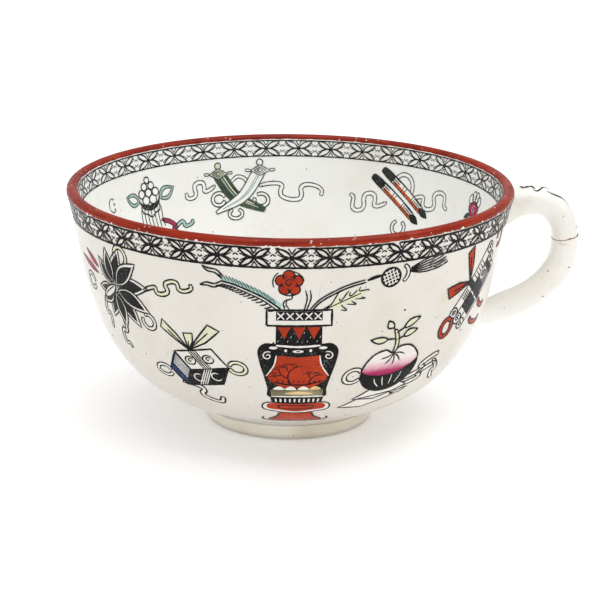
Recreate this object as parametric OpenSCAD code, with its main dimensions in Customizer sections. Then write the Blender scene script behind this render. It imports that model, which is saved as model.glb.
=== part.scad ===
// Low ceramic tea cup on a foot ring, with a looped ear handle.
// Millimetres, +Z up. The origin is the centre of the foot ring on the table,
// and the handle points along +X.

/* [Bowl] */
// Diameter across the lip
lip_d = 104; // [98:0.5:112]
// Height from the table to the crest of the lip
cup_h = 57; // [53:0.5:62]
// Thickness of the wall at the lip, enamel included
lip_wall = 2.8; // [2.4:0.1:3.2]
// Thickness of the floor over the foot
floor_t = 3.6; // [3.2:0.1:4.6]

/* [Foot ring] */
// Height of the foot ring
foot_h = 4.2; // [3.6:0.1:5.2]
// Outer diameter of the foot ring where it meets the bowl
foot_top_d = 42.6; // [41:0.2:44]
// Outer diameter of the foot ring on the table
foot_base_d = 39.4; // [38:0.2:41]
// Diameter of the recess inside the foot ring
recess_d = 33; // [30:0.5:34]

/* [Handle] */
// Distance from the cup's axis to the middle of the handle's back
handle_reach = 65.6; // [63.5:0.1:68]
// Height of the handle's back, where it stands furthest out
back_z = 41.3; // [40:0.1:42.5]
// Thickness of the handle's rod, seen from the side
rod_t = 6.5; // [5.8:0.1:7.2]
// Width of the handle's rod, seen from the end
rod_w = 8.6; // [7.6:0.1:9.6]
// Extra thickness where the upper root spreads on the wall
upper_flare = 4.6; // [3:0.1:5]
// Extra thickness where the lower root spreads on the wall
lower_flare = 2; // [1:0.1:3]

/* [Joints] */
// Thickness of the slip that lutes each handle root to the wall
slip_t = 0.6; // [0.4:0.1:0.9]
// Height at which an old break crosses the handle's back
break_z = 43; // [42.5:0.1:44]
// Tilt of the break, rising away from the cup
break_tilt = 12; // [0:1:14]
// Thickness of the adhesive in the break
glue_t = 0.2; // [0.15:0.05:0.4]

/* [Lip line] */
// Thickness of the enamel line on the lip
enamel_t = 0.15; // [0.1:0.05:0.3]
// How far the line comes down from the crest outside
line_out = 1.5; // [1.2:0.1:1.8]
// How far the line comes down from the crest inside
line_in = 1; // [0.7:0.1:1.3]

/* [Hidden] */
$fn = 96;

wall_steps = 18;
lip_steps = 12;
line_steps = 8;
route_steps = 16;
rod_sides = 24;

// The lip is a round bead, bare clay inside the enamel line
bead_r = lip_wall / 2 - enamel_t;
bead_c = [lip_d / 2 - lip_wall / 2, cup_h - lip_wall / 2];
// Leans of the wall from upright where it runs into the bead
lean_out = 18;
lean_in = 11;

// Outside of the wall: one Bezier curve from the top of the foot's fillet to the bead
foot_fillet = [1.85, 1.5];
wall_foot = [foot_top_d / 2 + foot_fillet[0], foot_h + foot_fillet[1]];
wall_belly = [0.947 * lip_d / 2, 0.235 * cup_h];
wall_waist = [0.924 * lip_d / 2, 0.758 * cup_h];
wall_lip = on_bead(bead_r, -lean_out);
outer_wall = [wall_foot, wall_belly, wall_waist, wall_lip];

// Fillet that the bowl throws out over the foot ring
fillet_curve = [[foot_top_d / 2, foot_h],
                [foot_top_d / 2 + 0.3, foot_h + 0.8],
                [foot_top_d / 2 + 0.8, foot_h + 1.2],
                wall_foot];

// Inside of the wall: one Bezier curve from the bead to the middle of the floor
floor_z = foot_h + floor_t;
inner_lip = on_bead(bead_r, 180 - lean_in);
inner_drop = 0.868 * cup_h;
inner_wall = [inner_lip,
              inner_lip - inner_drop * [sin(lean_in), cos(lean_in)],
              [lip_d / 4, floor_z],
              [0, floor_z]];

// Handle: one curve from the upper root to the back, one from there to the lower root.
// Both roots start inside the wall, which trims them.
upper_root = [47.5, 47.8];
lower_root = [42.5, 22.9];
handle_back = [handle_reach, back_z];
upper_route = [upper_root, upper_root + [12.3, 9], handle_back + [0, 7.5], handle_back];
lower_route = [handle_back, handle_back - [0, 9], lower_root + [15.4, 3.7], lower_root];
upper_sunk = 3.4;
lower_sunk = 3.2;
flare_fade = 2.7;
flare_share_w = 0.45;

route = concat(curve(upper_route, 0, route_steps), curve(lower_route, 1, route_steps));

function on_bead(r, a) = bead_c + r * [cos(a), sin(a)];

function arc(r, from, to, steps) =
    [for (i = [0:steps]) on_bead(r, from + (to - from) * i / steps)];

function bezier(p, t) =
    pow(1 - t, 3) * p[0] + 3 * pow(1 - t, 2) * t * p[1]
    + 3 * (1 - t) * pow(t, 2) * p[2] + pow(t, 3) * p[3];

function bezier_dir(p, t) =
    pow(1 - t, 2) * (p[1] - p[0]) + 2 * (1 - t) * t * (p[2] - p[1])
    + pow(t, 2) * (p[3] - p[2]);

function unit(v) = v / norm(v);

function curve(p, first, steps) = [for (i = [first:steps]) bezier(p, i / steps)];

// Outside of the wall, moved out along its own normal
function wall_line(out) = [
    for (i = [0:wall_steps])
        let (t = i / wall_steps, d = unit(bezier_dir(outer_wall, t)))
        bezier(outer_wall, t) + out * [d[1], -d[0]]
];

// The wall's outside closed to the axis, as the handle's roots meet it
module wall_solid(out) {
    line = wall_line(out);
    rotate_extrude()
        polygon(concat([[0, line[0][1]]], line, [[0, line[wall_steps][1]]]));
}

// How far the rod spreads at a point of its route, as a part of the full flare
function spread(p, root, sunk) = exp(-max(0, norm(p - root) - sunk) / flare_fade);

function flare(p) =
    upper_flare * spread(p, upper_root, upper_sunk)
    + lower_flare * spread(p, lower_root, lower_sunk);

function route_dir(i) =
    let (last = len(route) - 1)
    unit(route[min(i + 1, last)] - route[max(i - 1, 0)]);

function ring(i) =
    let (p = route[i], d = route_dir(i), across = [d[1], -d[0]],
         half_t = (rod_t + flare(p)) / 2,
         half_w = (rod_w + flare_share_w * flare(p)) / 2)
    [for (k = [0:rod_sides - 1])
        let (a = 360 * k / rod_sides, q = p + half_t * cos(a) * across)
        [q[0], half_w * sin(a), q[1]]];

// The whole handle, as one swept rod with both roots inside the wall
module rod() {
    rings = [for (i = [0:len(route) - 1]) each ring(i)];
    last = (len(route) - 1) * rod_sides;
    sides = [
        for (i = [0:len(route) - 2], k = [0:rod_sides - 1])
            let (a = i * rod_sides + k, b = i * rod_sides + (k + 1) % rod_sides)
            [a, b, b + rod_sides, a + rod_sides]
    ];
    start_cap = [for (k = [rod_sides - 1:-1:0]) k];
    end_cap = [for (k = [0:rod_sides - 1]) last + k];
    polyhedron(rings, concat(sides, [start_cap, end_cap]));
}

// The space above a plane that lies along the break, raised by up
module above_break(up) {
    size = lip_d;
    translate([handle_reach, 0, break_z])
        rotate([0, -break_tilt, 0])
            translate([-size / 2, -size / 2, up])
                cube([size, size, size]);
}

module handle_outside_slip() {
    difference() {
        rod();
        wall_solid(slip_t);
    }
}

module slips() {
    intersection() {
        rod();
        difference() {
            wall_solid(slip_t);
            wall_solid(0);
        }
    }
}

// Half of the space, split level with the middle of the handle's loop
module upper_half() {
    size = lip_d;
    translate([0, -size / 2, back_z - 4])
        cube([size, size, size]);
}

module bowl() {
    outline = concat([[0, foot_h]],
                     curve(fillet_curve, 0, 3),
                     [for (i = [1:wall_steps]) wall_line(0)[i]],
                     [for (i = [1:lip_steps]) arc(bead_r, -lean_out, 180 - lean_in, lip_steps)[i]],
                     curve(inner_wall, 1, wall_steps));
    color([0.93, 0.92, 0.89])
        rotate_extrude()
            polygon(outline);
}

module foot_ring() {
    soft = 0.6;
    color([0.83, 0.79, 0.69])
        rotate_extrude()
            polygon([[recess_d / 2, foot_h],
                     [recess_d / 2, 2 * soft],
                     [recess_d / 2 + soft, 0],
                     [foot_base_d / 2 - soft, 0],
                     [foot_base_d / 2, soft],
                     [foot_top_d / 2, foot_h]]);
}

module rim_line() {
    full_r = lip_wall / 2;
    from = -asin((line_out - full_r) / full_r);
    to = 180 - asin((full_r - line_in) / full_r);
    outside = arc(full_r, from, to, line_steps);
    inside = arc(bead_r, to, from, line_steps);
    color([0.66, 0.18, 0.12])
        rotate_extrude()
            polygon(concat(outside, inside));
}

module slip_upper() {
    color([0.90, 0.88, 0.83])
        intersection() {
            slips();
            upper_half();
        }
}

module slip_lower() {
    color([0.90, 0.88, 0.83])
        difference() {
            slips();
            upper_half();
        }
}

module handle_upper() {
    color([0.93, 0.92, 0.89])
        intersection() {
            handle_outside_slip();
            above_break(glue_t / 2);
        }
}

module handle_lower() {
    color([0.93, 0.92, 0.89])
        difference() {
            handle_outside_slip();
            above_break(-glue_t / 2);
        }
}

module handle_seam() {
    color([0.45, 0.30, 0.16])
        intersection() {
            difference() {
                handle_outside_slip();
                above_break(glue_t / 2);
            }
            above_break(-glue_t / 2);
        }
}

bowl();
foot_ring();
rim_line();
slip_upper();
slip_lower();
handle_upper();
handle_lower();
handle_seam();
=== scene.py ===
"""A low footed tea cup of printed earthenware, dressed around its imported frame.

Lengths in this file are millimetres until a mesh is made, and a place on a wall is given
as an angle round the cup and a drop, the distance down the wall from the crest of the lip.
"""
import math
import random

import bpy
import numpy as np
from mathutils import Matrix, Vector, geometry


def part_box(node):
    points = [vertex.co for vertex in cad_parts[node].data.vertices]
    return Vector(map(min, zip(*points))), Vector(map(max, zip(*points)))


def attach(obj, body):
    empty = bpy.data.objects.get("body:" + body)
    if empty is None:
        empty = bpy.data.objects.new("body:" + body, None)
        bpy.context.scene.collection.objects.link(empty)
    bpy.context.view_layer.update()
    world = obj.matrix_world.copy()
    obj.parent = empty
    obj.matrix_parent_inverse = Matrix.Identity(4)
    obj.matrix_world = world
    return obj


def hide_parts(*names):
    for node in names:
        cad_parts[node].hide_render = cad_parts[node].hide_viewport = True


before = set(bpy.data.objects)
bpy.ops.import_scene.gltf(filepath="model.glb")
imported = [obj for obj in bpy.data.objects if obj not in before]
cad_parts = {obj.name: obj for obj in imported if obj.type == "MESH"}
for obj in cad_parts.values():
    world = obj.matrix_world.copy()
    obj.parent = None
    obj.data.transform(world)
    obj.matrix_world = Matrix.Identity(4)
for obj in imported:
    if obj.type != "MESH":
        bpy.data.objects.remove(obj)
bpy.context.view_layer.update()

MM = 0.001


def corner_mm(node, which):
    """A corner of a node's box in millimetres, to the nearest tenth."""
    return [round(c / MM, 1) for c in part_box(node)[which]]


# --- Sizes -------------------------------------------------------------------------------
# From the frame, with the looks kept this far inside its box
INSET = 0.06
LIP_R = corner_mm("rim_line", 1)[0]
CUP_H = corner_mm("rim_line", 1)[2] - INSET
FOOT_TOP_R = corner_mm("foot_ring", 1)[0]
FOOT_H = corner_mm("foot_ring", 1)[2]
HANDLE_FAR = corner_mm("handle_lower", 1)[0] - INSET
BREAK_Z = (corner_mm("handle_seam", 0)[2] + corner_mm("handle_seam", 1)[2]) / 2

# Sizes that the frame's boxes don't give
LIP_WALL = 2.8
ENAMEL = 0.15
FLOOR_T = 3.6
FOOT_BASE_R = 19.7
RECESS_R = 16.5
LEAN_OUT = math.radians(18)
LEAN_IN = math.radians(11)
LINE_OUT = 1.5
LINE_IN = 1.0

ROD_T = 6.5
ROD_W = 8.6
UPPER_FLARE = 4.6
LOWER_FLARE = 2.0
BREAK_TILT = math.radians(12)
BREAK_ABOVE_BACK = 1.7

ROUND_STEPS = 288


# --- The bowl's profile ------------------------------------------------------------------
def turns(count):
    """Angles all round a circle, in radians."""
    return np.linspace(0, 2 * math.pi, count, endpoint=False)


def bezier(p, t):
    """Points of a cubic Bezier curve at the values t."""
    p = np.asarray(p, float)
    t = np.asarray(t, float)[:, None]
    return (1 - t) ** 3 * p[0] + 3 * (1 - t) ** 2 * t * p[1] + 3 * (1 - t) * t * t * p[2] + t ** 3 * p[3]


# The lip's half-round edge, under the enamel
BEAD_R = LIP_WALL / 2 - ENAMEL
BEAD_C = np.array([LIP_R - LIP_WALL / 2, CUP_H - LIP_WALL / 2])


def on_bead(radius, angle):
    """A point, or points, on a circle round the middle of the lip."""
    return BEAD_C + radius * np.stack([np.cos(angle), np.sin(angle)], -1)


FLOOR_Z = FOOT_H + FLOOR_T
WALL_FOOT = np.array([FOOT_TOP_R + 1.85, FOOT_H + 1.5])
OUTER_WALL = [WALL_FOOT, (0.947 * LIP_R, 0.235 * CUP_H), (0.924 * LIP_R, 0.758 * CUP_H),
              on_bead(BEAD_R, -LEAN_OUT)]
INNER_LIP = on_bead(BEAD_R, math.pi - LEAN_IN)
INNER_WALL = [INNER_LIP,
              INNER_LIP - 0.868 * CUP_H * np.array([math.sin(LEAN_IN), math.cos(LEAN_IN)]),
              (LIP_R / 2, FLOOR_Z), (0, FLOOR_Z)]
FOOT_FILLET = [(FOOT_TOP_R, FOOT_H), (FOOT_TOP_R + 0.3, FOOT_H + 0.8),
               (FOOT_TOP_R + 0.8, FOOT_H + 1.2), WALL_FOOT]


class Wall:
    """One side of the bowl, from the crest of the lip down its profile."""

    def __init__(self, points, outside):
        self.points = np.asarray(points, float)
        step = np.hypot(*np.diff(self.points, axis=0).T)
        self.drop = np.concatenate([[0], np.cumsum(step)])
        along = np.gradient(self.points, self.drop, axis=0)
        along /= np.hypot(*along.T)[:, None]
        turn = -1 if outside else 1
        self.normal = turn * np.stack([along[:, 1], -along[:, 0]], -1)
        self.side = 1 if outside else -1

    def radius(self, drop):
        return np.interp(drop, self.drop, self.points[:, 0])

    def height(self, drop):
        return np.interp(drop, self.drop, self.points[:, 1])

    def place(self, angle, drop, lift):
        """Points and normals at angles and drops, lift proud of the wall."""
        r, z = self.radius(drop), self.height(drop)
        nr = np.interp(drop, self.drop, self.normal[:, 0])
        nz = np.interp(drop, self.drop, self.normal[:, 1])
        c, s = np.cos(angle), np.sin(angle)
        spot = np.stack([(r + lift * nr) * c, (r + lift * nr) * s, z + lift * nz], -1)
        return spot, np.stack([nr * c, nr * s, nz], -1)


CREST_TO_WALL = on_bead(BEAD_R, np.linspace(math.pi / 2, -LEAN_OUT, 14))
CREST_TO_INSIDE = on_bead(BEAD_R, np.linspace(math.pi / 2, math.pi - LEAN_IN, 12))
OUTSIDE = Wall(np.vstack([CREST_TO_WALL, bezier(OUTER_WALL, np.linspace(1, 0, 70))[1:],
                          bezier(FOOT_FILLET, np.linspace(1, 0, 8))[1:]]), True)
INSIDE = Wall(np.vstack([CREST_TO_INSIDE, bezier(INNER_WALL, np.linspace(0, 1, 80))[1:]]), False)


# --- Meshes ------------------------------------------------------------------------------
def mesh_object(name, points, faces, materials, face_slots=None, normals=None):
    """A smooth-shaded object from points in millimetres."""
    mesh = bpy.data.meshes.new(name)
    mesh.from_pydata([tuple(p) for p in np.asarray(points, float) * MM], [], faces)
    for material in materials:
        mesh.materials.append(material)
    if face_slots is not None:
        mesh.polygons.foreach_set("material_index", face_slots)
    mesh.shade_smooth()
    if normals is not None:
        mesh.normals_split_custom_set_from_vertices([tuple(n) for n in normals])
    mesh.update()
    piece = bpy.data.objects.new(name, mesh)
    bpy.context.scene.collection.objects.link(piece)
    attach(piece, "root")
    return piece


def grid_faces(rows, columns, ring=False):
    """Quads over closed rows of points; ring joins the last row to the first."""
    faces = []
    for i in range(rows if ring else rows - 1):
        low, high = i * columns, (i + 1) % rows * columns
        for k in range(columns):
            n = (k + 1) % columns
            faces.append((low + k, low + n, high + n, high + k))
    return faces


def revolve(name, profile, material):
    """A solid of revolution. Ends on the axis become poles; otherwise the profile is a ring."""
    steps = ROUND_STEPS
    angle = turns(steps)
    poles = profile[0, 0] == 0
    body = profile[1:-1] if poles else profile
    points = np.vstack([np.stack([r * np.cos(angle), r * np.sin(angle), np.full(steps, z)], -1)
                        for r, z in body])
    faces = grid_faces(len(body), steps, ring=not poles)
    if poles:
        top, first = len(points), (len(body) - 1) * steps
        points = np.vstack([points, [[0, 0, profile[0, 1]], [0, 0, profile[-1, 1]]]])
        for k in range(steps):
            n = (k + 1) % steps
            faces.append((top, n, k))
            faces.append((top + 1, first + k, first + n))
    return mesh_object(name, points, faces, [material])


def circle(centre, radius, tall=None, start=0, end=360, steps=25):
    """Points round a circle or ellipse; part of one where start and end say so, in degrees."""
    a = np.radians(np.linspace(start, end, steps))
    if end - start == 360:
        a = a[:-1]
    return np.asarray(centre) + np.stack([radius * np.cos(a), (tall or radius) * np.sin(a)], -1)


# --- Materials ---------------------------------------------------------------------------
class Look:
    """Short calls for a material's nodes."""

    def __init__(self, name, **sockets):
        self.material = bpy.data.materials.new(name)
        self.material.use_nodes = True
        self.nodes = self.material.node_tree.nodes
        self.links = self.material.node_tree.links
        self.shader = self.nodes["Principled BSDF"]
        for socket, value in sockets.items():
            self.shader.inputs[socket.replace("_", " ")].default_value = value
        self.spot = self.nodes.new("ShaderNodeTexCoord").outputs["Object"]

    def node(self, kind, **inputs):
        """A new node; each input is another node's socket, a number or a colour."""
        n = self.nodes.new("ShaderNode" + kind)
        for name, value in inputs.items():
            self.give(n.inputs[name.replace("_", " ")], value)
        return n

    def give(self, socket, value):
        if isinstance(value, (int, float)):
            socket.default_value = value
        elif isinstance(value, tuple):
            socket.default_value = (*value, 1)
        else:
            self.links.new(value, socket)

    def noise(self, scale, detail=2.0, rough=0.5, spot=None):
        n = self.node("TexNoise", Scale=scale, Detail=detail, Roughness=rough, Vector=spot or self.spot)
        return n.outputs["Fac"]

    def height(self, low, high):
        """0 at the height low and 1 at the height high, in millimetres."""
        z = self.node("SeparateXYZ", Vector=self.spot).outputs["Z"]
        return self.node("MapRange", From_Min=low * MM, From_Max=high * MM, Value=z).outputs[0]

    def brushed_round(self, scale):
        """Noise drawn out into streaks that run round the cup."""
        x, y, z = self.node("SeparateXYZ", Vector=self.spot).outputs
        radius = self.maths("SQRT", self.maths("ADD", self.times(x, x), self.times(y, y)))
        across = self.times(self.maths("SUBTRACT", radius, z), 14)
        return self.noise(scale, 3, 0.6, self.node("CombineXYZ", X=x, Y=y, Z=across).outputs[0])

    def cells(self, scale, feature="F1"):
        n = self.node("TexVoronoi", Scale=scale, Vector=self.spot)
        n.feature = feature
        return n.outputs["Distance"]

    def ramp(self, value, *stops):
        """A colour ramp; each stop is (place, grey or colour)."""
        n = self.node("ValToRGB", Fac=value)
        while len(n.color_ramp.elements) < len(stops):
            n.color_ramp.elements.new(0.5)
        for element, (place, colour) in zip(n.color_ramp.elements, stops):
            element.position = place
            rgb = (colour,) * 3 if isinstance(colour, (int, float)) else colour
            element.color = (*rgb, 1)
        return n.outputs["Color"]

    def mix(self, amount, a, b):
        """Colour a where amount is 0 and b where it is 1."""
        n = self.node("Mix")
        n.data_type = "RGBA"
        for i, value in ((0, amount), (6, a), (7, b)):
            self.give(n.inputs[i], value)
        return n.outputs[2]

    def maths(self, operation, a, b=0.5):
        n = self.node("Math")
        n.operation = operation
        for socket, value in zip(n.inputs, (a, b)):
            self.give(socket, value)
        return n.outputs[0]

    def times(self, a, b):
        return self.maths("MULTIPLY", a, b)

    def specks(self, cell_scale, dot, edge, noise_scale, bare, full, amount):
        """Spots as wide as dot, gone at edge, only where a broad noise is above bare."""
        spots = self.ramp(self.cells(cell_scale), (dot, 1.0), (edge, 0.0))
        return self.times(spots, self.ramp(self.noise(noise_scale, 1), (bare, 0.0), (full, amount)))

    def surface(self, colour, rough_noise, low_rough, high_rough, relief, strength, depth):
        """Feed the shader its colour, a roughness that varies between two values, and a bump."""
        self.feed(colour, "Base Color")
        self.feed(self.ramp(rough_noise, (0.3, low_rough), (0.75, high_rough)), "Roughness")
        self.bump(relief, strength, depth)
        return self.material

    def bump(self, height, strength, distance):
        n = self.node("Bump", Strength=strength, Distance=distance, Height=height)
        self.feed(n.outputs[0], "Normal")

    def feed(self, value, socket):
        self.links.new(value, self.shader.inputs[socket])


def glaze(name, light, dark, stain, stain_amount, speck_amount, low_tone=1.0, toned_over=(3, 34),
          dents=0.25, coat=0.12):
    """Old clear glaze over cream clay: mottled, faintly crazed, with print dust and stains.

    It darkens to low_tone times its colours from the second height of toned_over to the first: painted
    shade towards the bottom.
    """
    look = Look(name, IOR=1.5, Specular_IOR_Level=0.05, Coat_Weight=coat, Coat_Roughness=0.12, Coat_IOR=1.5)
    mottle = look.ramp(look.noise(55, 4, 0.6), (0.35, 0.0), (0.7, 1.0))
    colour = look.mix(mottle, light, dark)
    # Painted shade: the colours darken below the upper height of toned_over, fully so at the lower.
    if low_tone < 1:
        painted_shade = look.mix(mottle, *(tuple(low_tone * c for c in tone) for tone in (light, dark)))
        colour = look.mix(look.height(*toned_over), painted_shade, colour)
    patches = look.ramp(look.noise(26, 3, 0.65), (0.56, 0.0), (0.74, 1.0))
    colour = look.mix(look.times(patches, stain_amount), colour, stain)
    blots = look.specks(95, 0.02, 0.2, 48, 0.60, 0.68, stain_amount)
    colour = look.mix(blots, colour, (0.62, 0.40, 0.22))
    crazing = look.ramp(look.cells(260, "DISTANCE_TO_EDGE"), (0.0, 1.0), (0.018, 0.0))
    crazed_here = look.ramp(look.noise(38, 2), (0.5, 0.0), (0.66, 0.22))
    colour = look.mix(look.times(crazing, crazed_here), colour, (0.42, 0.35, 0.26))
    dust = look.specks(420, 0.05, 0.11, 170, 0.60, 0.64, speck_amount)
    colour = look.mix(dust, colour, (0.10, 0.09, 0.08))
    ripple = look.maths("ADD", look.noise(70, 2), look.times(look.noise(600, 2), 0.12))
    return look.surface(colour, look.noise(90, 3), 0.16, 0.34, ripple, dents, 0.0004)


def lip_enamel():
    """Brick-red enamel, brushed round the lip and rubbed through to the glaze in specks."""
    look = Look("lip_enamel", Specular_IOR_Level=0.06, Coat_Weight=0.14, Coat_Roughness=0.15)
    body = look.mix(look.ramp(look.brushed_round(90), (0.3, 0.0), (0.68, 1.0)),
                    (0.36, 0.031, 0.010), (0.17, 0.012, 0.005))
    # Lighter red patches: thin enamel, and painted highlight streaks on the lip.
    thin = look.ramp(look.noise(95, 3, 0.7), (0.56, 0.0), (0.72, 0.45))
    body = look.mix(thin, body, (0.46, 0.08, 0.04))
    pits = look.specks(900, 0.14, 0.26, 240, 0.57, 0.61, 0.85)
    colour = look.mix(pits, body, (0.72, 0.62, 0.55))
    return look.surface(colour, look.noise(300, 3), 0.28, 0.5, look.noise(420, 3), 0.3, 0.0002)


INK_GLOSS = {"Specular_IOR_Level": 0.03, "Coat_Weight": 0.07, "Coat_Roughness": 0.1}


def inked(look, colour):
    """The surface that every ink and enamel has, in one colour."""
    return look.surface(colour, look.noise(90, 3), 0.2, 0.36, look.noise(700, 2), 0.12, 0.0002)


def ink(name, colour, deep, worn=0.25, worn_colour=(0.62, 0.60, 0.55)):
    """Printed or painted colour under the glaze, uneven, and speckled where the print is thin."""
    look = Look(name, **INK_GLOSS)
    body = look.mix(look.ramp(look.noise(160, 3, 0.6), (0.35, 0.0), (0.7, 1.0)), colour, deep)
    gaps = look.times(look.ramp(look.noise(2300, 2, 0.7), (0.56, 0.0), (0.66, 1.0)),
                      look.ramp(look.noise(120, 2), (0.42, 0.0), (0.66, worn)))
    return inked(look, look.mix(gaps, body, worn_colour))


# The body glaze is darkened towards the foot: painted shade on the lower wall.
GLAZE = glaze("body_glaze", (0.79, 0.76, 0.705), (0.75, 0.715, 0.65), (0.62, 0.50, 0.33),
              0.25, 0.6, low_tone=0.86)
# A lighter, cooler copy of the body glaze for the inside of the bowl: painted light.
LIT_INSIDE_GLAZE = glaze("lit_inside_glaze", (0.93, 0.93, 0.905), (0.90, 0.895, 0.86), (0.70, 0.56, 0.38),
                     0.25, 0.6)
# A lighter copy of the body glaze for the handle and its slip beads: painted light.
LIT_HANDLE_GLAZE = glaze("lit_handle_glaze", (0.92, 0.905, 0.865), (0.83, 0.80, 0.735), (0.70, 0.58, 0.42),
                     0.45, 0.3, dents=1.0, coat=0.7)
# The foot glaze darkens over its lowest 1.5 mm: a painted contact shadow under the foot.
FOOT_GLAZE = glaze("foot_glaze", (0.89, 0.845, 0.745), (0.80, 0.735, 0.61), (0.50, 0.38, 0.22),
                   0.5, 0.9, low_tone=0.6, toned_over=(0.1, 1.5))
ENAMEL_RED = lip_enamel()


# --- The ceramic pieces ------------------------------------------------------------------
def make_bowl():
    """The bowl, from the middle of its underside up the outside, over the lip and down."""
    outside = OUTSIDE.points[::-1]
    underside = [(0, FOOT_H), (FOOT_TOP_R * 0.4, FOOT_H), (FOOT_TOP_R * 0.8, FOOT_H)]
    profile = np.vstack([underside, outside[:-1], INSIDE.points])
    bowl = revolve("cup_bowl", profile, GLAZE)
    bowl.data.materials.append(LIT_INSIDE_GLAZE)
    # Faces that look upwards, the inside, take the lighter copy of the glaze: painted light.
    for face in bowl.data.polygons:
        face.material_index = 1 if face.normal.z > 0 else 0
    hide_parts("bowl")


def make_foot():
    """The foot ring, its edges softened by wear."""
    soft, edge = 0.9, 0.35
    base = circle((FOOT_BASE_R - soft, soft), soft, None, -90, -5, 7)
    inner_base = circle((RECESS_R + soft, soft), soft, None, 185, 270, 7)
    top_in = [(RECESS_R - edge, FOOT_H + 0.05), (RECESS_R, FOOT_H - edge)]
    flank = [(FOOT_BASE_R + 0.5, FOOT_H * 0.5), (FOOT_TOP_R - 0.15, FOOT_H * 0.9),
             (FOOT_TOP_R + 0.1, FOOT_H + 0.05)]
    foot = revolve("cup_foot_ring", np.vstack([inner_base, base, flank, top_in]), FOOT_GLAZE)
    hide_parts("foot_ring")


def wander(angle, seed, waves, size):
    """A smooth random line that closes on itself round the cup."""
    draw = random.Random(seed)
    total = np.zeros_like(angle)
    for wave in waves:
        total += draw.uniform(0.4, 1) * np.sin(wave * angle + draw.uniform(0, 2 * math.pi))
    return size * total / len(waves)


def make_lip_line():
    """The enamel line round the lip, thicker in the middle and brushed to an uneven edge."""
    steps, nicks = 720, 70
    full_r = LIP_WALL / 2
    angle = turns(steps)
    low_out = LINE_OUT + wander(angle, 3, (5, 11, 23, 47, 90, 131), 0.22)
    low_in = LINE_IN + wander(angle, 8, (4, 9, 31, 57, 101), 0.2)
    draw = random.Random(12)
    for i in draw.sample(range(steps), nicks):
        low_out[i] -= draw.uniform(0.1, 0.5)
    start = -np.arcsin((low_out - full_r) / full_r)
    end = math.pi - np.arcsin((full_r - low_in) / full_r)
    over = np.linspace(0, 1, 15)
    skin = [(w, BEAD_R + ENAMEL * (1 - abs(2 * w - 1) ** 6) + 0.01) for w in over]
    sunk = [(w, BEAD_R - 0.05) for w in over[::-1]]
    points = []
    for w, radius in skin + sunk:
        r, z = on_bead(radius, start + (end - start) * w).T
        points.append(np.stack([r * np.cos(angle), r * np.sin(angle), z], -1))
    faces = grid_faces(len(points), steps, ring=True)
    line = mesh_object("lip_line", np.vstack(points), faces, [ENAMEL_RED])
    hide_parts("rim_line")


# --- The handle --------------------------------------------------------------------------
BACK = np.array([HANDLE_FAR - ROD_T / 2, BREAK_Z - BREAK_ABOVE_BACK])
# Where the rod's middle line meets the wall at its two ends, and how strongly it leaves it
UPPER_ROOT = np.array([47.5, 47.8])
LOWER_ROOT = np.array([42.5, 22.9])
UPPER_PULL = np.array([12.3, 9.0])
LOWER_PULL = np.array([15.4, 3.7])
ROUTE = np.vstack([
    bezier([UPPER_ROOT, UPPER_ROOT + UPPER_PULL, BACK + (0, 7.5), BACK], np.linspace(0, 1, 200)),
    bezier([BACK, BACK - (0, 9), LOWER_ROOT + LOWER_PULL, LOWER_ROOT], np.linspace(0, 1, 200))[1:]])
ROUTE_S = np.concatenate([[0], np.cumsum(np.hypot(*np.diff(ROUTE, axis=0).T))])
ROUTE_DIR = np.gradient(ROUTE, ROUTE_S, axis=0)
# The rod's flare dies away over this length, from this far out of each root
FLARE_FADE = 2.7
SUNK = 3.3
ROD_SIDES = 64
ROD_ANGLE = turns(ROD_SIDES)
ALL_SIDES = np.arange(ROD_SIDES)
INNER = np.cos(ROD_ANGLE)

# Where each root lands on the wall: middle height, half height, half width, and how far
# along the route the rod runs free of it
LANDINGS = {"upper": (48.6, 6.6, 5.3, 11.0), "lower": (23.0, 5.2, 5.2, 10.5)}


def on_rod(s, k, grow=0.0):
    """The rod's surface at lengths s along the route and side numbers k."""
    return rod_point(s, ROD_ANGLE[k], grow)


def finger_marks(count, seed):
    """Shallow hollows left by the fingers: length along the route, angle, spread both ways, depth."""
    draw = random.Random(seed)
    return [(draw.uniform(7, ROUTE_S[-1] - 7), draw.uniform(0, 2 * math.pi), draw.uniform(1.7, 3.6),
             draw.uniform(0.25, 0.6), draw.uniform(0.05, 0.15)) for _ in range(count)]


FINGER_MARKS = finger_marks(70, 31)


def pressed_in(s, turn):
    """How far the finger marks sink the rod's surface at lengths s and angles round it."""
    depth = np.zeros(np.broadcast(s, turn).shape)
    for along, facing, length, width, deep in FINGER_MARKS:
        off = (turn - facing + math.pi) % (2 * math.pi) - math.pi
        depth += deep * np.exp(-((s - along) / length) ** 2 - (off / width) ** 2)
    return depth


def rod_point(s, turn, grow=0.0):
    """The rod's surface at lengths s along the route and angles round it."""
    grow = grow - pressed_in(s, turn)
    p = np.stack([np.interp(s, ROUTE_S, ROUTE[:, 0]), np.interp(s, ROUTE_S, ROUTE[:, 1])], -1)
    d = route_dir(s)
    from_upper = np.maximum(np.linalg.norm(p - UPPER_ROOT, axis=-1) - SUNK, 0)
    from_lower = np.maximum(np.linalg.norm(p - LOWER_ROOT, axis=-1) - SUNK, 0)
    flare = UPPER_FLARE * np.exp(-from_upper / FLARE_FADE) + LOWER_FLARE * np.exp(-from_lower / FLARE_FADE)
    c, n = np.cos(turn), np.sin(turn)
    square = np.where(c > 0, 0.80, 0.94)
    c, n = np.sign(c) * np.abs(c) ** square, np.sign(n) * np.abs(n) ** square
    out = ((ROD_T + flare) / 2 + grow) * c
    side = ((ROD_W + 0.45 * flare) / 2 + grow) * n
    return np.stack([p[..., 0] + out * d[..., 1], side, p[..., 1] - out * d[..., 0]], -1)


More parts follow.
